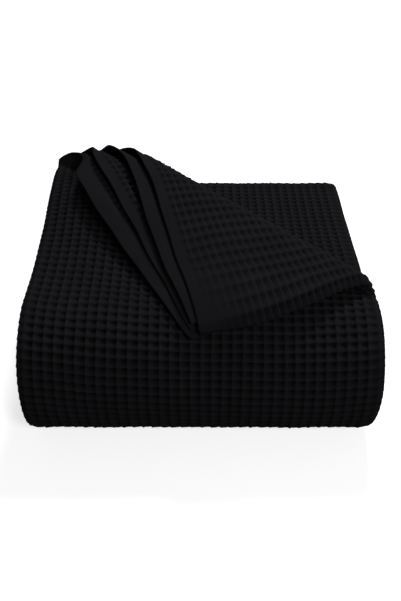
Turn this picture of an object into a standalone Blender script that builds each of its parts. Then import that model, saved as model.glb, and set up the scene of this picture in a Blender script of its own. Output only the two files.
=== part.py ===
# A waffle weave cotton blanket, folded.
#
# One cloth. Its two long sides are folded to the middle and the whole is folded in half, which
# gives a strip of four layers. The strip goes back and forth in a pile, comes out at the bottom,
# round one big front fold and back over the top. The free end of that top run is turned over at
# an angle: its corner lies on the front fold, its four hems fan out, and it stands up on the left.
#
# Metres, +Z up, the front fold towards -Y. The origin is the middle of the footprint.

import math

import bmesh
import bpy
from mathutils import Vector

# The cloth and its strip of four layers
CLOTH = 0.003               # thickness of the cloth
LAYER = 0.005               # from the middle of one layer to the middle of the next
TOP_LEVEL = 3               # levels run from 0, the lowest layer, to 3, the top one
HALF_WIDTH = 0.1862         # half the strip's width, to the middle of the cloth
SIDE_HEM_INSET = 0.012      # the two side hems stop this far inside the right fold
STRIP = TOP_LEVEL * LAYER + CLOTH

# The pile
DEPTH = 0.392               # front fold to back folds
FRONT_RADIUS = 0.0790       # outer radius of the big front fold
INNER_RUNS = 5              # runs of strip between the bottom run and the top run
INNER_END_Y = 0.062         # where the innermost run ends

# The turns between the inner runs, from the bottom of the pile up
TURNS = (
    # side, how far back (or how near the front) it reaches
    ("back", 0.392),
    ("front", 0.0440),
    ("back", 0.388),
    ("front", 0.0235),
    ("back", 0.391),
)

# The turned-over end of the top run. Depths here are measured along the unrolled strip.
CORNER = {
    "strip end": 0.3453,        # where the hems lie before the end is turned over
    "line x": 0.1646,           # a point on the fold line, near the right side
    "line depth": 0.0884,
    "line angle": 149.0,        # degrees from +X
    "line bow": 0.0231,         # how far the line's left end bends to the back
    "right radius": 0.0176,     # radius of the turn at the right end of the line
    "left radius": 0.0509,      # and at the left end
    "radius power": 0.856,
    "right layer": 0.0048,      # layer spacing where the right end is pressed together
    "left layer": 0.01279,      # and where the left end is puffed up
    "layer power": 0.783,
    "droop from": 0.86,         # the left end sinks from this share of the line on
    "droop": 0.65,
    "spread power": 0.42,      # how soon the hems part, going left from the corner
    "settle": 0.151,            # travel in which the flap comes down on the strip
    "puff": 0.0797,             # reach of the puffed part in front of the line
    "lift": 0.0120,             # rise of the whole strip at the left end of the line
    "lip bulge": 0.0148,        # how far the folded side swells out along the lip
    "held in": 0.80,            # share by which the drooping end is held in from the left side
}

# How far each layer has slipped past the strip end, in millimetres, from left to right
HEM_SLIP = (
    # x as a share of the half width, then levels 0 to 3
    (-1.0, 4, 4, -7, -4),
    (-0.8, 5, 7, 4, 1),
    (-0.5, 9, 8, 11, 14),
    (-0.1, 6, -3, 4, 8),
    (0.2, 0, 2, 0, 1),
    (0.6, 2, 5, -2, -4),
    (1.0, -4, -2, -5, -6),
)
LINE_OVERRUN = 1.25             # the values above run on this far past the line's left end
LIFT_REACH = 1.3                # the lift reaches this much further than the puff
SMALLEST_TURN = 0.004
FLAP_GAP = 0.0007               # added between the flap and the strip that it lies on

# Facets
SIDE_FOLD_STEPS = 3
RIGHT_FOLD_STEPS = 6
TURN_STEPS = 6
FRONT_STEPS = 12
FRONT_COARSE_TO = 3             # steps of the front fold, from its top, that have the fine section
LINE_STEPS = 6                  # rows of facets from the front fold to the fold line
END_STEPS = 13                  # and from the fold line to the hems
END_POWER = 1.7                 # the rows after the line start close together
LAYER_STEPS = 9                 # facets across each layer there

CLOTH_COLOUR = (0.010, 0.010, 0.012, 1.0)
CLOTH_ROUGHNESS = 0.85


def smooth(value):
    value = min(max(value, 0.0), 1.0)
    return value * value * (3.0 - 2.0 * value)


def section(steps):
    # The strip's cross-section as (x, level) points, from one side hem to the other.
    small = LAYER / 2
    large = TOP_LEVEL * LAYER / 2
    left = -HALF_WIDTH + small
    right = HALF_WIDTH - large
    inside = HALF_WIDTH - SIDE_HEM_INSET

    def across(start, end, level):
        return [(start + (end - start) * i / steps, level) for i in range(1, steps)]

    def left_fold(low):
        points = []
        for i in range(SIDE_FOLD_STEPS + 1):
            angle = math.pi * i / SIDE_FOLD_STEPS
            points.append((left - small * math.sin(angle), low + 0.5 - 0.5 * math.cos(angle)))
        return points

    def right_fold():
        points = []
        for i in range(RIGHT_FOLD_STEPS + 1):
            angle = math.pi * i / RIGHT_FOLD_STEPS
            points.append((right + large * math.sin(angle), 1.5 + 1.5 * math.cos(angle)))
        return points

    points = [(inside, 2.0)]
    points += across(inside, left, 2.0)
    points += left_fold(2.0)
    points += across(left, right, 3.0)
    points += right_fold()
    points += across(right, left, 0.0)
    points += left_fold(0.0)
    points += across(left, inside, 1.0)
    points.append((inside, 1.0))
    return points


def coarse_columns(steps):
    # The places in section(steps) of the points of section(1).
    coarse = section(1)
    fine = section(steps)
    return [min(range(len(fine)), key=lambda i: distance(fine[i], point)) for point in coarse]


def distance(a, b):
    return math.hypot(a[0] - b[0], (a[1] - b[1]) * LAYER)


def pile_rows():
    # Stations along the strip from its hidden end to the front fold, each the middle of the
    # strip and the direction of its top level: (y, z, normal y, normal z).
    bottom = STRIP / 2
    top = 2 * FRONT_RADIUS - STRIP / 2
    pitch = (top - bottom) / (INNER_RUNS + 1)
    radius = pitch / 2
    rows = []
    for number, (side, reach) in enumerate(TURNS):
        low = bottom + pitch * number
        outward = 1 if side == "back" else -1
        centre = reach - outward * (radius + STRIP / 2)
        turn = []
        for i in range(TURN_STEPS + 1):
            angle = -math.pi / 2 + math.pi * i / TURN_STEPS
            away = Vector((outward * math.cos(angle), math.sin(angle)))
            place = Vector((centre, low + radius)) + away * radius
            normal = away * outward
            turn.append((place.x, place.y, normal.x, normal.y))
        rows += turn
    rows.append((INNER_END_Y, bottom + pitch * INNER_RUNS, 0.0, 1.0))
    rows.reverse()
    for i in range(FRONT_STEPS, FRONT_COARSE_TO - 1, -1):
        angle = math.pi * i / FRONT_STEPS
        around = FRONT_RADIUS - STRIP / 2
        rows.append((
            FRONT_RADIUS - around * math.sin(angle),
            FRONT_RADIUS + around * math.cos(angle),
            -math.sin(angle),
            math.cos(angle),
        ))
    return rows


def pile_point(row, x, level):
    y, z, normal_y, normal_z = row
    height = (level - TOP_LEVEL / 2) * LAYER
    return Vector((x, y + normal_y * height, z + normal_z * height))


def on_top_run(x, depth, height):
    # A point of the unrolled top run, height above its lowest layer, on the pile.
    inner = FRONT_RADIUS - CLOTH / 2 - TOP_LEVEL * LAYER
    if depth >= FRONT_RADIUS:
        return Vector((x, depth, FRONT_RADIUS + inner + height))
    angle = (FRONT_RADIUS - depth) / (FRONT_RADIUS - CLOTH / 2)
    radius = inner + height
    return Vector((x, FRONT_RADIUS - radius * math.sin(angle), FRONT_RADIUS + radius * math.cos(angle)))


def fold_line():
    # A point of the fold line, its direction to the left, the direction away from the front,
    # and its length up to the left side.
    angle = math.radians(CORNER["line angle"])
    along = Vector((math.cos(angle), math.sin(angle)))
    away = Vector((along.y, -along.x))
    start = Vector((CORNER["line x"], CORNER["line depth"]))
    return start, along, away, (start.x + HALF_WIDTH) / -along.x


def line_depth(x):
    # How deep the bowed fold line crosses the strip at x.
    start, along, away, length = fold_line()
    depth = start.y
    for _ in range(8):
        place = max((Vector((x, depth)) - start).dot(along) / length, 0.0)
        depth = start.y + (CORNER["line bow"] * place * place - (x - start.x) * away.x) / away.y
    return depth


def turned_over(x, depth, level):
    # Where a point of the top run lies once its end is turned over: (x, depth, height).
    start, along, away, length = fold_line()
    to_end = (depth - start.y) / (CORNER["strip end"] - start.y)
    x += CORNER["lip bulge"] * math.sin(math.pi * min(max(to_end, 0.0), 1.0)) * smooth(x / HALF_WIDTH)
    offset = Vector((x, depth)) - start
    place = min(max(offset.dot(along) / length, 0.0), LINE_OVERRUN)
    bow = CORNER["line bow"] * place * place
    past = offset.dot(away) - bow
    foot = start + along * offset.dot(along) + away * bow

    past_droop = place - CORNER["droop from"]
    kept = 1.0 - CORNER["droop"] * smooth(past_droop / (LINE_OVERRUN - CORNER["droop from"]))
    sideways = 1.0 - CORNER["held in"] * smooth(past_droop / (1.0 - CORNER["droop from"]))
    radius = CORNER["right radius"]
    radius += (CORNER["left radius"] - radius) * place ** CORNER["radius power"]
    radius *= kept
    spacing = CORNER["right layer"]
    spacing += (CORNER["left layer"] - spacing) * place ** CORNER["layer power"]
    spacing *= kept
    lift = CORNER["lift"] * smooth(place)

    def puffed(reach):
        fade = math.exp(-((reach / CORNER["puff"]) ** 2))
        lift_fade = math.exp(-((reach / CORNER["puff"] / LIFT_REACH) ** 2))
        return LAYER + (spacing - LAYER) * fade, lift * lift_fade

    if past <= 0.0:
        here, raised = puffed(past)
        return x, depth, level * here + raised

    spread = min(max((HALF_WIDTH - x) / (2 * HALF_WIDTH), 0.0), 1.0) ** CORNER["spread power"]
    level_radius = radius - level * spacing
    travel_radius = max(radius - level * spacing * spread, SMALLEST_TURN)
    turn = min(past / travel_radius, math.pi)
    over = max(past - math.pi * travel_radius, 0.0)
    flat = foot + away * (level_radius * math.sin(turn) - over)
    flat.x = x + (flat.x - x) * sideways
    if over <= 0.0:
        return flat.x, flat.y, radius - level_radius * math.cos(turn) + lift

    here, raised = puffed(over)
    resting = TOP_LEVEL * here + raised + LAYER * (TOP_LEVEL + 1 - level) + FLAP_GAP
    standing = 2 * radius - level * spacing + lift
    height = standing + (resting - standing) * smooth(over / CORNER["settle"])
    return flat.x, flat.y, height


def hem_slip(x, level):
    # Level by level, and round the right fold straight from level 3 to level 0.
    share = min(max(x / HALF_WIDTH, -1.0), 1.0)
    row = next(i for i in range(1, len(HEM_SLIP)) if share <= HEM_SLIP[i][0])
    before, after = HEM_SLIP[row - 1], HEM_SLIP[row]
    part = (share - before[0]) / (after[0] - before[0])
    slips = [(low + (high - low) * part) / 1000 for low, high in zip(before[1:], after[1:])]
    if x > HALF_WIDTH - TOP_LEVEL * LAYER / 2:
        return slips[0] + (slips[TOP_LEVEL] - slips[0]) * level / TOP_LEVEL
    under = min(int(level), TOP_LEVEL - 1)
    return slips[under] + (slips[under + 1] - slips[under]) * (level - under)


def corner_depths(x, level):
    # The rows of facets at x: up to the fold line, then on to the hems.
    first = FRONT_RADIUS - (FRONT_RADIUS - CLOTH / 2) * math.pi * (FRONT_COARSE_TO - 1) / FRONT_STEPS
    line = line_depth(x)
    last = CORNER["strip end"] + hem_slip(x, level)
    depths = [first + (line - first) * i / LINE_STEPS for i in range(LINE_STEPS + 1)]
    depths += [line + (last - line) * (i / END_STEPS) ** END_POWER for i in range(1, END_STEPS + 1)]
    return depths


def blanket_mesh():
    # The middle surface of the cloth, as one grid with coarse rows and then fine ones.
    mesh = bmesh.new()
    coarse = section(1)
    fine = section(LAYER_STEPS)
    kept = coarse_columns(LAYER_STEPS)
    rows = [[mesh.verts.new(pile_point(row, x, level)) for x, level in coarse] for row in pile_rows()]
    for before, after in zip(rows, rows[1:]):
        for i in range(len(coarse) - 1):
            mesh.faces.new((before[i], before[i + 1], after[i + 1], after[i]))
    depths = [corner_depths(x, level) for x, level in fine]
    fine_rows = []
    for number in range(LINE_STEPS + END_STEPS + 1):
        placed = [turned_over(x, depths[i][number], level) for i, (x, level) in enumerate(fine)]
        fine_rows.append([mesh.verts.new(on_top_run(*point)) for point in placed])
    last = rows[-1]
    first = fine_rows[0]
    for i in range(len(coarse) - 1):
        edge = first[kept[i]:kept[i + 1] + 1]
        mesh.faces.new([last[i], last[i + 1], *reversed(edge)])
    for before, after in zip(fine_rows, fine_rows[1:]):
        for i in range(len(fine) - 1):
            mesh.faces.new((before[i], before[i + 1], after[i + 1], after[i]))
    return mesh


def cotton():
    material = bpy.data.materials.new("black cotton")
    material.use_nodes = True
    shader = material.node_tree.nodes["Principled BSDF"]
    shader.inputs["Base Color"].default_value = CLOTH_COLOUR
    shader.inputs["Roughness"].default_value = CLOTH_ROUGHNESS
    shader.inputs["Metallic"].default_value = 0.0
    return material


def clear_scene():
    for item in list(bpy.data.objects):
        bpy.data.objects.remove(item, do_unlink=True)


def main():
    clear_scene()
    surface = blanket_mesh()
    for vertex in surface.verts:
        vertex.co.y -= DEPTH / 2
    data = bpy.data.meshes.new("blanket")
    surface.to_mesh(data)
    surface.free()
    blanket = bpy.data.objects.new("blanket", data)
    bpy.context.scene.collection.objects.link(blanket)
    data.materials.append(cotton())
    data.shade_smooth()
    thickness = blanket.modifiers.new("cloth thickness", "SOLIDIFY")
    thickness.thickness = CLOTH
    thickness.offset = 0.0
    thickness.use_even_offset = True
    thickness.use_quality_normals = True


main()
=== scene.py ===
import math

import bpy
import numpy as np
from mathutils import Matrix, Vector


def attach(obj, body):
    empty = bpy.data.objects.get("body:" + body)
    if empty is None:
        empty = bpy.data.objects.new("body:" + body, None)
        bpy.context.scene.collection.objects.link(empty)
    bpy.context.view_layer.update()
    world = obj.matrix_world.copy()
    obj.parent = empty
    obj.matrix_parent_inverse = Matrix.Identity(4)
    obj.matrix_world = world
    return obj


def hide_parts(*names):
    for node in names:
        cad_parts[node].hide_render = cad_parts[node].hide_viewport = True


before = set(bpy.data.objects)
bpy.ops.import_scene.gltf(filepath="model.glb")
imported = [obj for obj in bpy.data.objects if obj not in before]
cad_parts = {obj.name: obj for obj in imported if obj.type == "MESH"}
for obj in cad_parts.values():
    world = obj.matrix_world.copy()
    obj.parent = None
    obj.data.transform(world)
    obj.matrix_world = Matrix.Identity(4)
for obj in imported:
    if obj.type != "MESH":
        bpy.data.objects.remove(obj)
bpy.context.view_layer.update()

bpy.context.scene.view_settings.view_transform = "Standard"
print("packed model loaded")

photoCamera = {
    "place": (-0.0008, -0.753, 0.6294),
    "tilt": 36.785,             # degrees below level
    "lens": 45.39,              # mm
    "sensor": 36.0,             # mm, along the frame's long side
    "nearest": 0.02,
}


def makeCamera():
    data = bpy.data.cameras.new("camera")
    data.lens = photoCamera["lens"]
    data.sensor_width = photoCamera["sensor"]
    data.clip_start = photoCamera["nearest"]
    camera = bpy.data.objects.new("camera", data)
    camera.location = photoCamera["place"]
    camera.rotation_euler = (math.radians(90.0 - photoCamera["tilt"]), 0.0, 0.0)
    bpy.context.scene.collection.objects.link(camera)
    bpy.context.scene.camera = camera


makeCamera()

# How the blanket is folded: a strip of four layers, both long sides in to the middle and then
# in half, which goes back and forth in a pile. All sizes are in metres, w runs across the flat
# cloth and s along it, from the end that is hidden in the pile.
pile = {
    "layer": 0.005,             # middle of one layer to the middle of the next
    "cloth": 0.003,             # room that one layer takes
    "topLevel": 3,              # the layers are levels 0 to 3
    "halfWidth": 0.1862,
    "sideHemInset": 0.012,      # the two side hems stop this far inside the right fold
    "depth": 0.392,
    "frontRadius": 0.0790,
    "innerEnd": 0.062,          # where the innermost run stops
    "turns": (                  # from the bottom of the pile up: 1 at the back, -1 at the front
        (1, 0.392),
        (-1, 0.0440),
        (1, 0.388),
        (-1, 0.0235),
        (1, 0.391),
    ),
}


def smooth(value):
    value = np.clip(value, 0.0, 1.0)
    return value * value * (3.0 - 2.0 * value)


def fade(value, start, reach):
    # From 0 at the start to 1 once the value is past it by the reach.
    return smooth((value - start) / reach)


# Cross-section of the strip in seven parts: level 2 from its side hem, a left fold, level 3, the
# right fold, level 0, a left fold, and level 1 to its side hem
smallFold = pile["layer"] / 2
largeFold = pile["layer"] * pile["topLevel"] / 2
leftX = -pile["halfWidth"] + smallFold
rightX = pile["halfWidth"] - largeFold
insideX = pile["halfWidth"] - pile["sideHemInset"]
acrossLengths = (
    insideX - leftX,
    math.pi * smallFold,
    rightX - leftX,
    math.pi * largeFold,
    rightX - leftX,
    math.pi * smallFold,
    insideX - leftX,
)
acrossKnots = np.concatenate(([0.0], np.cumsum(acrossLengths)))
clothWidth = float(acrossKnots[-1])


def acrossStrip(w):
    # x and level at w, and the part of the section it is on.
    part = np.clip(np.searchsorted(acrossKnots, w, side="right") - 1, 0, 6)
    t = (w - acrossKnots[part]) / np.array(acrossLengths)[part]
    bend = np.sin(math.pi * t)
    swing = np.cos(math.pi * t)
    parts = [part == number for number in range(6)]
    x = np.select(
        parts,
        [
            insideX + (leftX - insideX) * t,
            leftX - smallFold * bend,
            leftX + (rightX - leftX) * t,
            rightX + largeFold * bend,
            rightX + (leftX - rightX) * t,
            leftX - smallFold * bend,
        ],
        leftX + (insideX - leftX) * t,
    )
    level = np.select(
        parts,
        [2.0 + 0 * t, 2.5 - 0.5 * swing, 3.0 + 0 * t, 1.5 + 1.5 * swing, 0 * t, 0.5 - 0.5 * swing],
        1.0 + 0 * t,
    )
    return x, level, part


# The pile as runs and turns, from the strip's hidden end to the foot of the front fold
stripHeight = pile["topLevel"] * pile["layer"] + pile["cloth"]
pileBottom = stripHeight / 2
pitch = (2 * pile["frontRadius"] - stripHeight) / (len(pile["turns"]) + 1)
turnRadius = pitch / 2


def pilePath():
    path = []
    y = pile["innerEnd"]
    before = 0
    for number in reversed(range(len(pile["turns"]))):
        side, reach = pile["turns"][number]
        centre = reach - side * (turnRadius + stripHeight / 2)
        height = pileBottom + pitch * number + turnRadius
        path.append({"kind": "run", "from": y, "to": centre, "z": height + turnRadius, "up": side,
                     "before": before, "after": side, "length": abs(centre - y)})
        path.append({"kind": "turn", "centre": centre, "z": height, "side": side,
                     "length": math.pi * turnRadius})
        y = centre
        before = side
    path.append({"kind": "run", "from": y, "to": pile["frontRadius"], "z": pileBottom, "up": -1,
                 "before": before, "after": 0, "length": abs(pile["frontRadius"] - y)})
    return path


path = pilePath()


def onPile(s, level):
    # Each level keeps its own length round a turn, and the runs between take up the rest.
    height = (level - pile["topLevel"] / 2) * pile["layer"]
    y = np.zeros_like(s)
    z = np.zeros_like(s)
    place = np.zeros(s.shape, int)
    start = np.zeros_like(s)
    for number, piece in enumerate(path):
        if piece["kind"] == "run":
            length = piece["length"] - (piece["before"] + piece["after"]) * height * math.pi / 2
        else:
            length = piece["length"] + piece["side"] * height * math.pi
        here = (s >= start) if number else np.ones(s.shape, bool)
        t = (s - start) / length
        if piece["kind"] == "run":
            yHere = piece["from"] + (piece["to"] - piece["from"]) * t
            zHere = piece["z"] + piece["up"] * height
        else:
            angle = math.pi / 2 - math.pi * np.clip(t, 0.0, 1.0)
            radius = turnRadius + piece["side"] * height
            yHere = piece["centre"] + piece["side"] * radius * np.cos(angle)
            zHere = piece["z"] + radius * np.sin(angle)
        y = np.where(here, yHere, y)
        z = np.where(here, zHere, z)
        place = np.where(here, number, place)
        start = start + length
    return y, z, place


# The end of the top run, turned over along a slanting line. Depths run along the flat strip.
corner = {
    "stripEnd": 0.3453,
    "lineX": 0.1646,            # a point on the fold line, near the right side
    "lineDepth": 0.0884,
    "lineAngle": 149.0,         # degrees from +X
    "lineBow": 0.0231,          # how far its left end bends to the back
    "rightRadius": 0.0176,      # the turn at the right end of the line, pressed together
    "leftRadius": 0.0509,       # and at the left end, puffed up
    "radiusPower": 0.856,
    "rightLayer": 0.0048,       # layer spacing at the two ends
    "leftLayer": 0.01279,
    "layerPower": 0.783,
    "droopFrom": 0.86,          # the left end sinks from this share of the line on
    "droop": 0.65,
    "spreadPower": 0.42,        # how soon the hems part, going left from the tip
    "settle": 0.151,            # travel in which the flap comes down on the strip
    "puff": 0.0797,             # how far from the line the layers are puffed apart
    "liftReach": 1.3,           # and lifted, as a multiple of that
    "lift": 0.0120,
    "lipBulge": 0.0148,
    "heldIn": 0.80,             # how much less the drooping end moves sideways
    "overrun": 1.25,            # the line goes on past its left end, up to this share of it
    "smallestTurn": 0.004,
    "flapGap": 0.0007,
    "slips": (                  # x as a share of the half width, then mm that levels 0 to 3 slip
        (-1.0, 4, 4, -7, -4),
        (-0.8, 5, 7, 4, 1),
        (-0.5, 9, 8, 11, 14),
        (-0.1, 6, -3, 4, 8),
        (0.2, 0, 2, 0, 1),
        (0.6, 2, 5, -2, -4),
        (1.0, -4, -2, -5, -6),
    ),
    "slipSpread": (-0.1, -0.05, 0.0, 0.05, 0.1),    # shares of the half width it is averaged over
}

# The top run starts where the pile ends, at the foot of the front fold
foldStart = sum(piece["length"] for piece in path)
frontArc = math.pi * (pile["frontRadius"] - pile["cloth"] / 2)
depthAtFold = pile["frontRadius"] - frontArc
clothLength = foldStart + corner["stripEnd"] - depthAtFold

lineAngle = math.radians(corner["lineAngle"])
lineDirection = (math.cos(lineAngle), math.sin(lineAngle))
awayDirection = (lineDirection[1], -lineDirection[0])
lineLength = (corner["lineX"] + pile["halfWidth"]) / -lineDirection[0]


def depthAt(s):
    # Depth on the flat top run, negative where it goes round the front fold.
    return s - foldStart + depthAtFold


def pastLine(x, depth):
    # Way along the fold line, that as a share, from 0 at its right end, and distance past it.
    fromX = x - corner["lineX"]
    fromDepth = depth - corner["lineDepth"]
    alongLine = fromX * lineDirection[0] + fromDepth * lineDirection[1]
    place = np.clip(alongLine / lineLength, 0.0, corner["overrun"])
    past = fromX * awayDirection[0] + fromDepth * awayDirection[1]
    return alongLine, place, past - corner["lineBow"] * place * place


def turnedOver(x, depth, level):
    # Where a point of the top run lies once its end is turned over: x, depth and height.
    toEnd = (depth - corner["lineDepth"]) / (corner["stripEnd"] - corner["lineDepth"])
    bulge = corner["lipBulge"] * np.sin(math.pi * np.clip(toEnd, 0.0, 1.0))
    x = x + bulge * smooth(x / pile["halfWidth"])
    alongLine, place, past = pastLine(x, depth)
    bow = corner["lineBow"] * place * place
    footX = corner["lineX"] + lineDirection[0] * alongLine + awayDirection[0] * bow
    footDepth = corner["lineDepth"] + lineDirection[1] * alongLine + awayDirection[1] * bow

    pastDroop = place - corner["droopFrom"]
    kept = 1.0 - corner["droop"] * smooth(pastDroop / (corner["overrun"] - corner["droopFrom"]))
    sideways = 1.0 - corner["heldIn"] * smooth(pastDroop / (1.0 - corner["droopFrom"]))
    wider = corner["leftRadius"] - corner["rightRadius"]
    radius = (corner["rightRadius"] + wider * place ** corner["radiusPower"]) * kept
    looser = corner["leftLayer"] - corner["rightLayer"]
    spacing = (corner["rightLayer"] + looser * place ** corner["layerPower"]) * kept
    lift = corner["lift"] * smooth(place)
    layer = pile["layer"]

    def puffed(reach):
        near = np.exp(-((reach / corner["puff"]) ** 2))
        liftNear = np.exp(-((reach / corner["puff"] / corner["liftReach"]) ** 2))
        return layer + (spacing - layer) * near, lift * liftNear

    hereBefore, raisedBefore = puffed(past)
    fromRight = np.clip((pile["halfWidth"] - x) / (2 * pile["halfWidth"]), 0.0, 1.0)
    spread = fromRight ** corner["spreadPower"]
    levelRadius = radius - level * spacing
    travelRadius = np.maximum(radius - level * spacing * spread, corner["smallestTurn"])
    turn = np.clip(past / travelRadius, 0.0, math.pi)
    over = np.maximum(past - math.pi * travelRadius, 0.0)
    travel = levelRadius * np.sin(turn) - over
    curlX = x + (footX + awayDirection[0] * travel - x) * sideways
    curlDepth = footDepth + awayDirection[1] * travel
    hereOver, raisedOver = puffed(over)
    standing = 2 * radius - level * spacing + lift
    resting = pile["topLevel"] * hereOver + raisedOver + layer * (pile["topLevel"] + 1 - level)
    resting = resting + corner["flapGap"]
    settled = standing + (resting - standing) * smooth(over / corner["settle"])
    curlHeight = np.where(over > 0.0, settled, radius - levelRadius * np.cos(turn) + lift)
    before = past <= 0.0
    return (
        np.where(before, x, curlX),
        np.where(before, depth, curlDepth),
        np.where(before, level * hereBefore + raisedBefore, curlHeight),
    )


def onTopRun(depth, height):
    # Round the front fold, or flat behind it, at a height above the lowest level.
    foldRadius = pile["frontRadius"]
    outerRadius = foldRadius - pile["cloth"] / 2
    radius = outerRadius - pile["topLevel"] * pile["layer"] + height
    angle = np.maximum((foldRadius - depth) / outerRadius, 0.0)
    y = np.where(depth >= foldRadius, depth, foldRadius - radius * np.sin(angle))
    return y, foldRadius + radius * np.cos(angle)


def foldedCloth(w, s):
    # The middle of the cloth at w across and s along its flat shape.
    x, level, _ = acrossStrip(w)
    y, z, _ = onPile(s, level)
    topX, topDepth, topHeight = turnedOver(x, depthAt(s), level)
    topY, topZ = onTopRun(topDepth, topHeight)
    onTop = s >= foldStart
    x = np.where(onTop, topX, x)
    y = np.where(onTop, topY, y)
    z = np.where(onTop, topZ, z)
    return np.stack((x, y - pile["depth"] / 2, z), axis=-1)


probe = 0.0004                  # a short step on the cloth, to find which way it goes


def clothNormal(w, s):
    # Towards the outer face, the one on the outside of every fold.
    across = foldedCloth(w + probe, s) - foldedCloth(w - probe, s)
    along = foldedCloth(w, s + probe) - foldedCloth(w, s - probe)
    normal = np.cross(across, along)
    return normal / np.maximum(np.linalg.norm(normal, axis=-1, keepdims=True), 1e-12)


# Where the rows of cells aren't straight across the strip
rowBend = {
    "middle": 0.061,            # the rows on the front hang lowest here and rise to both sides
    "curve": 0.228,
    "frontDepths": (-0.12, -0.07, 0.12, 0.30),
    "frontShare": (0.0, 1.0, 1.0, 0.0),
    "pull": 0.018,              # further up they climb towards the hump
    "pullFrom": -0.05,
    "pullTo": -0.15,
    "topDepths": (0.05, 0.14, 0.20, 0.33),
    "topShare": (0.0, 1.0, 1.0, 0.0),
}


def pulled(w, s):
    # The place along the cloth once its rows are bent.
    x, _, _ = acrossStrip(w)
    depth = depthAt(s)
    front = rowBend["curve"] * (x - rowBend["middle"]) ** 2
    front = front * np.interp(depth, rowBend["frontDepths"], rowBend["frontShare"])
    toHump = smooth((rowBend["pullFrom"] - x) / (rowBend["pullFrom"] - rowBend["pullTo"]))
    top = rowBend["pull"] * toHump * np.interp(depth, rowBend["topDepths"], rowBend["topShare"])
    return s + front + top


def hemSlip(x, level):
    # How far the layers have slipped past one another at the turned-over end.
    table = np.array(corner["slips"])
    levels = pile["topLevel"] + 1
    spots = corner["slipSpread"]
    layers = np.zeros((levels,) + x.shape)
    for spot in spots:
        share = x / pile["halfWidth"] + spot
        slips = [np.interp(share, table[:, 0], table[:, 1 + k]) for k in range(levels)]
        layers += [slip / 1000.0 / len(spots) for slip in slips]
    under = np.clip(level.astype(int), 0, pile["topLevel"] - 1)[None]
    low = np.take_along_axis(layers, under, 0)[0]
    high = np.take_along_axis(layers, under + 1, 0)[0]
    between = low + (high - low) * (level - under[0])
    roundFold = layers[0] + (layers[-1] - layers[0]) * level / pile["topLevel"]
    return np.where(x > rightX, roundFold, between)


def slipped(w, s):
    # The place along the cloth after the slip, which grows from the fold line to the end.
    x, level, _ = acrossStrip(w)
    _, _, past = pastLine(x, depthAt(s))
    _, _, pastEnd = pastLine(x, np.full_like(x, corner["stripEnd"]))
    share = np.clip(past / pastEnd, 0.0, 1.0) * (s >= foldStart)
    return s + hemSlip(x, level) * share * (2.0 - share)


# Slow, uneven waves in the threads, the end hem and the layers
wandering = {
    "waveLengths": (0.33, 0.19, 0.11, 0.07),
    "waveShare": 0.35,          # of each in the whole
    "across": 0.0006,           # how far the threads leave their line
    "along": 0.0005,
    "hem": 0.0014,              # and the end hem, from hemReach on
    "hemReach": 0.12,
    "edge": 0.02,               # held at the edges of the cloth, free from this far in
    "swell": 0.0005,            # how far the layers swell and sink
    "swellFiner": 1.3,          # in waves this much shorter
}


def wander(a, b, seed):
    # One such wave between about -1 and 1, the same each run. a and b are in metres.
    total = np.zeros(np.broadcast(a, b).shape)
    draw = np.random.default_rng(seed)
    for size in wandering["waveLengths"]:
        angle, phase = draw.uniform(0.0, 2.0 * math.pi, 2)
        along = (a * math.cos(angle) + b * math.sin(angle)) * 2.0 * math.pi / size
        total = total + np.sin(along + phase) * wandering["waveShare"]
    return total


def wandered(w, s):
    # Where a place on the even cloth has gone: waves, bent rows and slipped layers.
    edge = wandering["edge"]
    inside = smooth(w / edge) * smooth((clothWidth - w) / edge)
    atHem = fade(s, clothLength - wandering["hemReach"], wandering["hemReach"])
    wMoved = w + wandering["across"] * wander(w, s, seed=3) * inside
    sMoved = s + wandering["along"] * wander(w, s, seed=5) * (1.0 - atHem) * smooth(s / edge)
    sMoved = sMoved + wandering["hem"] * wander(w, 0.0 * s, seed=7) * atHem
    return wMoved, slipped(wMoved, pulled(wMoved, sMoved))


# Soft troughs and ridges in the outer layer of the top run: x, depth, reach across, reach along
# and height at the middle. They are gone dentFade before the fold line.
dents = (
    (0.020, -0.004, 0.050, 0.026, -0.0030),     # under the tip, which weighs on the cloth
    (-0.095, 0.020, 0.030, 0.060, 0.0018),
    (-0.150, 0.100, 0.028, 0.050, -0.0020),
    (0.110, -0.030, 0.040, 0.040, 0.0016),
    (-0.030, -0.075, 0.090, 0.022, -0.0014),
)
dentFade = 0.02


def dented(w, s):
    # Height of the soft troughs and ridges, only where the strip's outer layer lies on top.
    x, level, _ = acrossStrip(w)
    depth = depthAt(s)
    _, _, past = pastLine(x, depth)
    total = np.zeros_like(x)
    for middleX, middleDepth, reachX, reachDepth, height in dents:
        away = ((x - middleX) / reachX) ** 2 + ((depth - middleDepth) / reachDepth) ** 2
        total = total + height * np.exp(-away)
    outer = smooth(level - (pile["topLevel"] - 1))
    return total * outer * smooth(-past / dentFade) * (s >= foldStart)


# The plain hems round the cloth. The one at the end is turned in.
hem = {
    "plain": (0.0115, 0.014, 0.0115, 0.022),        # plain band at the end of levels 0 to 3
    "sideWidth": 0.018,
    "turn": 0.00095,            # radius of the turned edge
    "turnSteps": 5,
    "under": (0.003, 0.008, 0.014, 0.0185, 0.0212),     # places on the turned-in part
    "underHeights": (1.0, 1.0, 1.0, 0.9, 0.35),     # off the inner face, in edge diameters
}

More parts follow.
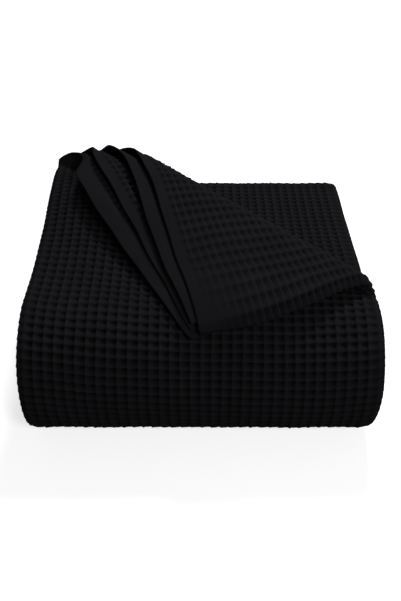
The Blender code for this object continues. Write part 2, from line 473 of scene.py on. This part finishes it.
# The weave, in cells, and its relief. A pair is a start and the distance it fades over.
waffle = {
    "across": 140,              # cells across the whole cloth, about 10.6 mm each
    "along": 270,               # and along it, about 9.5 mm each
    "places": (0.0, 0.24, 0.52, 0.82),      # mesh lines in a cell, from one ridge to the next
    "heights": (1.0, 0.55, 0.25, 0.0),      # how high the wall is on each, deepest above and right
    "sag": 0.18,                # ridges sink this share between their crossings
    "depth": 0.0050,            # ridge to floor
    "uneven": 0.16,             # how much the cells differ
    "pressedTo": 0.0002,        # the ridges underneath are pressed flat against the floor
    "newFace": (0.008, 0.016),  # the ridges change face past the fold line
    "faceBlend": 0.004,         # and at the side folds
    "hemBlend": 0.003,
    "onSideFolds": 0.28,        # the share of it left where the strip's sides are folded
    "foldBlend": 0.008,
    "atLip": (-0.004, 0.008),
    "onBackFold": 0.45,         # and on the topmost fold at the back
    "backFoldReach": 0.022,
    "onTip": (0.015, 0.050),    # none at the tip, all of it this far away
    "onFlap": 1.0,              # on top of the flap, less towards its tip
    "flapFade": (-0.06, 0.24),
}
perCell = len(waffle["places"])
cellWidth = clothWidth / waffle["across"]


def ridgeFace(w, turned):
    # Which face carries the ridges: 1 the outer, -1 the inner, as on top of the turned-over end.
    blend = waffle["faceBlend"] * np.array((1.0, -0.5, -1.0, 1.0, 0.5, -0.5))
    knots = acrossKnots[[1, 2, 3, 3, 5, 6]] + blend
    innerUp = np.interp(w, knots, (0.0, 1.0, 1.0, 0.0, 0.0, 1.0))
    return 1.0 - 2.0 * innerUp * turned


def insideHems(w, s, level):
    band = np.interp(level, range(len(hem["plain"])), hem["plain"])
    fromEnd = np.minimum(clothLength - s, s)
    fromSide = np.minimum(w, clothWidth - w)
    blend = waffle["hemBlend"]
    return fade(fromEnd, band, blend) * fade(fromSide, hem["sideWidth"], blend)


def weaveStrength(w, s):
    # How strong the relief is, negative where the inner face carries the ridges.
    x, level, _ = acrossStrip(w)
    depth = depthAt(s)
    _, _, past = pastLine(x, depth)
    onTop = s >= foldStart
    turned = np.where(onTop, fade(past, *waffle["newFace"]), 0.0)

    # the cells are pulled flat round the side folds, but not along the lip
    blend = waffle["foldBlend"]
    knots = np.repeat(acrossKnots[1:7], 2) + np.tile((-blend, 0.0, 0.0, blend), 3)
    sideFold = np.interp(w, knots, np.tile((0.0, 1.0, 1.0, 0.0), 3))
    atLip = np.where(onTop & (x > 0.0), fade(past, *waffle["atLip"]), 0.0)
    left = insideHems(w, s, level)
    left = left * (1.0 - (1.0 - waffle["onSideFolds"]) * sideFold * (1.0 - atLip))
    fromBackFold = s - path[0]["length"] - path[1]["length"] / 2
    backFold = np.exp(-((fromBackFold / waffle["backFoldReach"]) ** 2))
    left = left * (1.0 - (1.0 - waffle["onBackFold"]) * backFold)

    # and they are pressed flat in the tip, where it was held to be turned over
    fromTip = np.hypot(x - pile["halfWidth"], depth - corner["stripEnd"])
    onFlap = turned * (level < 0.5)
    flapLeft = waffle["onFlap"] * fade(fromTip, *waffle["flapFade"])
    tipLeft = fade(fromTip, *waffle["onTip"]) * (1.0 - onFlap * (1.0 - flapLeft))
    return ridgeFace(w, turned) * left * np.where(onTop, tipLeft, 1.0)


def cellHeights(columns, rows):
    # From -0.5 on a cell's floor to 0.5 where its ridges cross.
    across = np.array(waffle["heights"])[columns % perCell]
    along = np.array(waffle["heights"])[rows % perCell]
    wall = 1.0 - (1.0 - across) * (1.0 - along)
    ridge = np.maximum(across, along)
    sunk = 1.0 - waffle["sag"] * (1.0 - np.minimum(across, along)) * ridge
    return wall * sunk - 0.5


# Where the facets are fine enough for relief, as distances past the fold line
fineFacets = {
    "outerLayer": 0.012,        # the outer layer of the top run, up to here
    "flap": -0.040,             # the layer that comes up on the flap, from here on
    "passBelow": -0.022,        # the pass below, which shows behind the line, from here on
    "endRows": 4,               # and this many rows of cells at the end of the cloth
}


def facetPlan():
    # Facets along the two edges of each cell: the relief needs four, a turn in the pile two and a
    # hidden cell one. Where all is hidden and flat, two by two cells can share one facet.
    across = waffle["across"]
    along = waffle["along"]
    w = (np.arange(across) + 0.5) * clothWidth / across
    s = (np.arange(along) + 0.5) * clothLength / along
    w, s = np.meshgrid(w, s)
    s = slipped(w, pulled(w, s))
    x, level, part = acrossStrip(w)
    y, _, place = onPile(s, level)
    _, _, middlePlace = onPile(s, np.full_like(s, pile["topLevel"] / 2))
    _, _, past = pastLine(x, depthAt(s))
    _, _, passPast = pastLine(x, y)
    cellLength = clothLength / along
    onTop = s >= foldStart - cellLength
    inPile = s < foldStart - cellLength / 2
    outer = (part == 2) | (part == 3)
    lower = (part == 4) | (part == 3)
    sideFolds = np.zeros(x.shape, bool)
    for fold in (1, 3, 5):
        first = int(acrossKnots[fold] / clothWidth * across)
        last = int(acrossKnots[fold + 1] / clothWidth * across)
        sideFolds[:, first:last + 1] = True
    anyTurn = ((place % 2 == 1) | (middlePlace % 2 == 1)) & inPile

    fine = outer & onTop & (past < fineFacets["outerLayer"])
    fine |= lower & onTop & (past > fineFacets["flap"])
    fine |= clothLength - s < fineFacets["endRows"] * cellLength
    # place 0 is the pass below the top run, and 1 its turn at the back
    fine |= outer & inPile & (place == 0) & (passPast > fineFacets["passBelow"])
    fine |= outer & inPile & (place == 1)
    acrossSteps = np.where(fine | sideFolds, perCell, 1)
    alongSteps = np.where(anyTurn | (sideFolds & (place > 0)), 2, 1)
    alongSteps = np.where(fine | (sideFolds & onTop), perCell, alongSteps)
    return acrossSteps, alongSteps, ~fine & ~sideFolds & ~anyTurn


def cellFacets(column, row, stepAcross, stepAlong):
    return [
        (c, c + stepAcross, r, r + stepAlong)
        for r in range(perCell * row, perCell * (row + 1), stepAlong)
        for c in range(perCell * column, perCell * (column + 1), stepAcross)
    ]


def facets():
    # Corners of each facet in mesh lines (first column, last column, first row, last row).
    acrossSteps, alongSteps, merge = facetPlan()
    along, across = merge.shape
    found = []
    for j in range(0, along, 2):
        for i in range(0, across, 2):
            if merge[j:j + 2, i:i + 2].all() and j + 2 <= along and i + 2 <= across:
                found += [(perCell * i, perCell * (i + 2), perCell * j, perCell * (j + 2))]
                continue
            for b in range(j, min(j + 2, along)):
                for a in range(i, min(i + 2, across)):
                    found += cellFacets(a, b, perCell // acrossSteps[b, a], perCell // alongSteps[b, a])
    return found


def latticeLine(cells, size):
    places = [(cell + place) * size / cells for cell in range(cells) for place in waffle["places"]]
    return np.array(places + [size])


def latticeFaces(rowCount, columnCount):
    # The number of the point at each crossing of mesh lines, or -1, whether it carries relief,
    # and the faces. A coarse face takes in the points that its finer neighbours set on its edge.
    found = facets()
    number = np.full((rowCount, columnCount), -1)
    relief = np.zeros(number.shape, bool)
    for c0, c1, r0, r1 in found:
        number[r0, c0] = number[r0, c1] = number[r1, c0] = number[r1, c1] = 0
        if c1 - c0 == 1 and r1 - r0 == 1:
            relief[r0:r1 + 1, c0:c1 + 1] = True
    used = number == 0
    number[used] = np.arange(used.sum())
    faces = []
    for c0, c1, r0, r1 in found:
        ring = [(r0, c) for c in range(c0, c1)] + [(r, c1) for r in range(r0, r1)]
        ring += [(r1, c) for c in range(c1, c0, -1)] + [(r, c0) for r in range(r1, r0, -1)]
        faces.append([int(number[spot]) for spot in ring if used[spot]])
    return number, relief, faces


def turnedHem(w, s):
    # Rows of points from the end of the cloth round its edge and back along the inner face.
    base = foldedCloth(w, s)
    normal = clothNormal(w, s)
    onward = base - foldedCloth(w, s - probe)
    onward /= np.linalg.norm(onward, axis=-1, keepdims=True)
    rows = []
    for i in range(1, hem["turnSteps"] + 1):
        angle = math.pi * i / hem["turnSteps"]
        rise = hem["turn"] * (1.0 - math.cos(angle))
        rows.append(base + onward * hem["turn"] * math.sin(angle) - normal * rise)
    for place, share in zip(hem["under"], hem["underHeights"]):
        rise = 2.0 * hem["turn"] * share
        rows.append(foldedCloth(w, s - place) - clothNormal(w, s - place) * rise)
    return rows


def makeBlanket():
    across = waffle["across"]
    along = waffle["along"]
    columns = latticeLine(across, clothWidth)
    rows = latticeLine(along, clothLength)
    number, relief, faces = latticeFaces(len(rows), len(columns))
    rowNumbers, columnNumbers = np.nonzero(number >= 0)
    w = columns[columnNumbers]
    s = rows[rowNumbers]
    wMoved, sMoved = wandered(w, s)
    strength = weaveStrength(w, s)
    high = relief[rowNumbers, columnNumbers]
    walls = cellHeights(columnNumbers, rowNumbers)
    draw = np.random.default_rng(seed=11)
    differs = 1.0 + waffle["uneven"] * draw.uniform(-1.0, 1.0, len(w))
    finer = wandering["swellFiner"]
    height = waffle["depth"] * walls * differs * strength * high
    height = height + wandering["swell"] * wander(w * finer, s * finer, seed=13) + dented(w, s)
    points = foldedCloth(wMoved, sMoved) + clothNormal(wMoved, sMoved) * height[:, None]
    points[:, 2] = np.maximum(points[:, 2], waffle["pressedTo"])

    # the end hem is turned in towards the inner face and lies on it
    last = number[-1, number[-1] >= 0]
    hemRows = turnedHem(wMoved[last], sMoved[last])
    total = len(points)
    before = last
    for row in hemRows:
        after = total + np.arange(len(row))
        faces += np.stack((before[:-1], before[1:], after[1:], after[:-1]), axis=1).tolist()
        before = after
        total += len(row)
    points = np.concatenate([points] + hemRows)
    hemPlaces = np.repeat([0.0] * hem["turnSteps"] + list(hem["under"]), len(last))

    mesh = bpy.data.meshes.new("waffleBlanket")
    mesh.from_pydata(points.tolist(), [], faces)
    mesh.update()

    # what the material needs: the place in cells, the cells that it has to draw, how much painted shade
    # relief's hollows are darkened with, and the distance from the end hem
    cells = np.zeros((total, 3))
    cells[:, 0] = np.concatenate((w, np.tile(w[last], len(hemRows)))) / clothWidth * across
    cells[:, 1] = np.concatenate((s / clothLength * along, along - hemPlaces / clothLength * along))
    cells[:len(w), 2] = strength
    mesh.attributes.new("cells", "FLOAT_VECTOR", "POINT").data.foreach_set("vector", cells.ravel())
    # painted shade in the hollow of each cell, darkest at its deepest point
    pitShadeShare = np.clip(0.5 - walls, 0.0, 1.0) ** dyedCotton["pitShadePower"]
    noneOnHem = np.zeros(len(hemPlaces))
    values = {
        "drawnWaffle": np.concatenate((np.where(high, 0.0, 1.0) * strength, noneOnHem)),
        "paintedPitShade": np.concatenate((pitShadeShare * np.sqrt(np.abs(strength)) * high, noneOnHem)),
        "fromHem": np.concatenate((clothLength - s, hemPlaces)),
    }
    for name, perPoint in values.items():
        mesh.attributes.new(name, "FLOAT", "POINT").data.foreach_set("value", perPoint)
    mesh.shade_smooth()
    blanket = bpy.data.objects.new("waffleBlanket", mesh)
    bpy.context.scene.collection.objects.link(blanket)
    triangles = sum(len(face) - 2 for face in faces)
    flat = (round(clothWidth, 3), "by", round(clothLength, 3))
    print("blanket sheet:", total, "points,", triangles, "triangles, flat", *flat)
    return blanket


def fromHex(code):
    values = [int(code[i:i + 2], 16) / 255.0 for i in (1, 3, 5)]
    return tuple(v / 12.92 if v <= 0.04045 else ((v + 0.055) / 1.055) ** 2.4 for v in values) + (1.0,)


def addNode(tree, kind, inputs=None, **settings):
    node = tree.nodes.new("ShaderNode" + kind)
    for name, value in settings.items():
        setattr(node, name, value)
    for name, value in (inputs or {}).items():
        if isinstance(value, bpy.types.NodeSocket):
            tree.links.new(value, node.inputs[name])
        else:
            node.inputs[name].default_value = value
    return node


# Piece-dyed cotton, woven as a waffle: matt, with a soft bloom of loose fibre on the ridges, and painted
# shade darkening the hollows of the cells
dyedCotton = {
    "dyeAndPitShade": "#020203",           # the cloth's black, shown pure deep in the cells as painted shade
    "bloom": "#242427",         # elsewhere, where fibre stands up
    "plainBloom": 0.64,         # the share of it on the plain hems
    "pitShadePower": 0.8,            # higher keeps more of it down into a cell, with less painted shade
    "patchSize": 0.0302,        # it is thinner in soft patches of about this size
    "patchDetail": 3.0,
    "patchFade": (0.3, 0.7),
    "patchLeast": 0.86,         # the least share of it in a patch
    "threadPitch": 0.00118,     # real threads are half that, too fine to show
    "threadDepth": 0.00012,
    "stitchLine": 0.0095,       # from the edge of the hem
    "stitchWidth": 0.0011,
    "stitchDepth": 0.0002,
    "roughness": 0.9,
    "metallic": 0.0,
    "ior": 1.5,
    "specular": 0.04,           # the fibres scatter nearly all of the shine
    "sheen": 0.002,
    "sheenRoughness": 0.5,
}


def makeDyedCotton():
    material = bpy.data.materials.new("pieceDyedCotton")
    material.use_nodes = True
    tree = material.node_tree
    shader = tree.nodes["Principled BSDF"]
    names = ("cells", "drawnWaffle", "paintedPitShade", "fromHem")
    cells, drawn, paintedPitShade, fromHem = [addNode(tree, "Attribute", attribute_name=name) for name in names]
    split = addNode(tree, "SeparateXYZ", {"Vector": cells.outputs["Vector"]})

    # each way, one wave to a cell and one to a thread
    threads = float(round(cellWidth / dyedCotton["threadPitch"]))
    cellWaves = []
    threadWaves = []
    for axis in ("X", "Y"):
        turns = addNode(tree, "Math", {0: split.outputs[axis], 1: 2.0 * math.pi}, operation="MULTIPLY")
        threadTurns = addNode(tree, "Math", {0: turns.outputs[0], 1: threads}, operation="MULTIPLY")
        cellWave = addNode(tree, "Math", {0: turns.outputs[0]}, operation="COSINE")
        threadWave = addNode(tree, "Math", {0: threadTurns.outputs[0]}, operation="SINE")
        cellWaves.append(cellWave.outputs[0])
        threadWaves.append(threadWave.outputs[0])

    # the waffle itself, where the mesh is too coarse to carry it
    halfDepth = waffle["depth"] / 2
    wall = addNode(tree, "Math", {0: cellWaves[0], 1: cellWaves[1]}, operation="MAXIMUM")
    wallDrawn = addNode(tree, "Math", {0: wall.outputs[0], 1: drawn.outputs["Fac"]}, operation="MULTIPLY")
    wallHeight = addNode(tree, "Math", {0: wallDrawn.outputs[0], 1: halfDepth}, operation="MULTIPLY")

    # the threads
    threadDepth = dyedCotton["threadDepth"]
    crossing = addNode(tree, "Math", {0: threadWaves[0], 1: threadWaves[1]}, operation="MULTIPLY")
    threadHeight = addNode(tree, "Math", {0: crossing.outputs[0], 1: threadDepth}, operation="MULTIPLY")

    # the row of stitches that holds the hem, as a shallow groove
    stitchLine = dyedCotton["stitchLine"]
    aside = addNode(tree, "Math", {0: fromHem.outputs["Fac"], 1: stitchLine}, operation="SUBTRACT")
    asideEither = addNode(tree, "Math", {0: aside.outputs[0]}, operation="ABSOLUTE")
    groove = addNode(
        tree,
        "MapRange",
        {"Value": asideEither.outputs[0], "From Min": 0.0, "From Max": dyedCotton["stitchWidth"],
         "To Min": -dyedCotton["stitchDepth"], "To Max": 0.0},
        interpolation_type="SMOOTHSTEP",
    )
    woven = addNode(tree, "Math", {0: wallHeight.outputs[0], 1: threadHeight.outputs[0]})
    height = addNode(tree, "Math", {0: woven.outputs[0], 1: groove.outputs["Result"]})
    bump = addNode(tree, "Bump", {"Height": height.outputs[0], "Strength": 1.0, "Distance": 1.0})

    # loose fibre greys the ridges and less so the hems, and painted shade darkens the hollows of the cells
    weave = addNode(tree, "Math", {0: split.outputs["Z"]}, operation="ABSOLUTE")
    strength = addNode(tree, "Math", {0: drawn.outputs["Fac"]}, operation="ABSOLUTE")
    # the same painted shade in the hollows of the cells that are drawn
    below = addNode(tree, "MapRange", {"Value": wall.outputs[0], "From Min": 0.0, "From Max": -1.0})
    drawnPitShade = addNode(
        tree, "Math", {0: below.outputs["Result"], 1: strength.outputs[0]}, operation="MULTIPLY"
    )
    anyPitShade = addNode(tree, "Math", {0: paintedPitShade.outputs["Fac"], 1: drawnPitShade.outputs[0]})
    outsidePitShade = addNode(tree, "Math", {0: 1.0, 1: anyPitShade.outputs[0]}, operation="SUBTRACT", use_clamp=True)
    patches = addNode(
        tree,
        "TexNoise",
        {"Vector": cells.outputs["Vector"], "Scale": cellWidth / dyedCotton["patchSize"],
         "Detail": dyedCotton["patchDetail"]},
    )
    fibre = addNode(
        tree,
        "MapRange",
        {"Value": patches.outputs["Fac"], "From Min": dyedCotton["patchFade"][0],
         "From Max": dyedCotton["patchFade"][1], "To Min": dyedCotton["patchLeast"], "To Max": 1.0},
    )
    raised = addNode(
        tree, "MapRange", {"Value": weave.outputs[0], "To Min": dyedCotton["plainBloom"], "To Max": 1.0}
    )
    share = addNode(tree, "Math", {0: outsidePitShade.outputs[0], 1: fibre.outputs["Result"]}, operation="MULTIPLY")
    bloomShare = addNode(
        tree, "Math", {0: share.outputs[0], 1: raised.outputs["Result"]}, operation="MULTIPLY"
    )
    dyeAndPitShade = fromHex(dyedCotton["dyeAndPitShade"])
    bloom = fromHex(dyedCotton["bloom"])
    # the hollows take the dye's black as painted shade, the rest the bloom
    colour = addNode(
        tree, "Mix", {"Factor": bloomShare.outputs[0], "A": dyeAndPitShade, "B": bloom}, data_type="RGBA"
    )
    tree.links.new(colour.outputs["Result"], shader.inputs["Base Color"])
    tree.links.new(bump.outputs["Normal"], shader.inputs["Normal"])
    shader.inputs["Roughness"].default_value = dyedCotton["roughness"]
    shader.inputs["Metallic"].default_value = dyedCotton["metallic"]
    shader.inputs["IOR"].default_value = dyedCotton["ior"]
    shader.inputs["Specular IOR Level"].default_value = dyedCotton["specular"]
    shader.inputs["Sheen Weight"].default_value = dyedCotton["sheen"]
    shader.inputs["Sheen Roughness"].default_value = dyedCotton["sheenRoughness"]
    return material


studio = {
    "floor": "#dcdcdc",
    "glow": 0.71,               # the floor is a lit white table, so it shows next to no shadow
    "floorSize": 40.0,
    "floorRoughness": 0.6,
    "background": "#ffffff",
    "backgroundStrength": 0.14,
    "aim": (0.0, 0.0, 0.08),
    "lamps": (                  # direction from the blanket, distance, size, watts
        ((0.15, 0.46, 0.88), 2.2, 0.40, 27.0),
        ((0.36, -0.72, 0.60), 2.2, 0.5, 16.0),
    ),
}


def makeOpalAcrylic():
    # Translucent sheet lit from below: even, white and without a reflection.
    material = bpy.data.materials.new("opalAcrylicSheet")
    material.use_nodes = True
    shader = material.node_tree.nodes["Principled BSDF"]
    shader.inputs["Base Color"].default_value = fromHex(studio["floor"])
    shader.inputs["Roughness"].default_value = studio["floorRoughness"]
    shader.inputs["Specular IOR Level"].default_value = 0.0
    shader.inputs["Emission Color"].default_value = (1.0, 1.0, 1.0, 1.0)
    shader.inputs["Emission Strength"].default_value = studio["glow"]
    return material


def makeFloor():
    half = studio["floorSize"] / 2
    corners = [(-half, -half, 0), (half, -half, 0), (half, half, 0), (-half, half, 0)]
    mesh = bpy.data.meshes.new("floor")
    mesh.from_pydata(corners, [], [(0, 1, 2, 3)])
    mesh.materials.append(makeOpalAcrylic())
    floor = bpy.data.objects.new("floor", mesh)
    bpy.context.scene.collection.objects.link(floor)
    floor.visible_diffuse = False
    floor.visible_glossy = False


def makeLights():
    aim = Vector(studio["aim"])
    for number, (direction, distance, size, watts) in enumerate(studio["lamps"]):
        data = bpy.data.lights.new("softbox" + str(number + 1), "AREA")
        data.shape = "SQUARE"
        data.size = size
        data.energy = watts
        lamp = bpy.data.objects.new(data.name, data)
        lamp.location = aim + Vector(direction).normalized() * distance
        lamp.rotation_euler = (aim - lamp.location).to_track_quat("-Z", "Y").to_euler()
        bpy.context.scene.collection.objects.link(lamp)
    world = bpy.data.worlds.new("studio")
    bpy.context.scene.world = world
    world.use_nodes = True
    background = world.node_tree.nodes["Background"]
    background.inputs["Color"].default_value = fromHex(studio["background"])
    background.inputs["Strength"].default_value = studio["backgroundStrength"]


makeFloor()
makeLights()
print("studio ready")

blanket = makeBlanket()
blanket.data.materials.append(makeDyedCotton())
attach(blanket, "root")
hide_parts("blanket")
print("blanket ready")
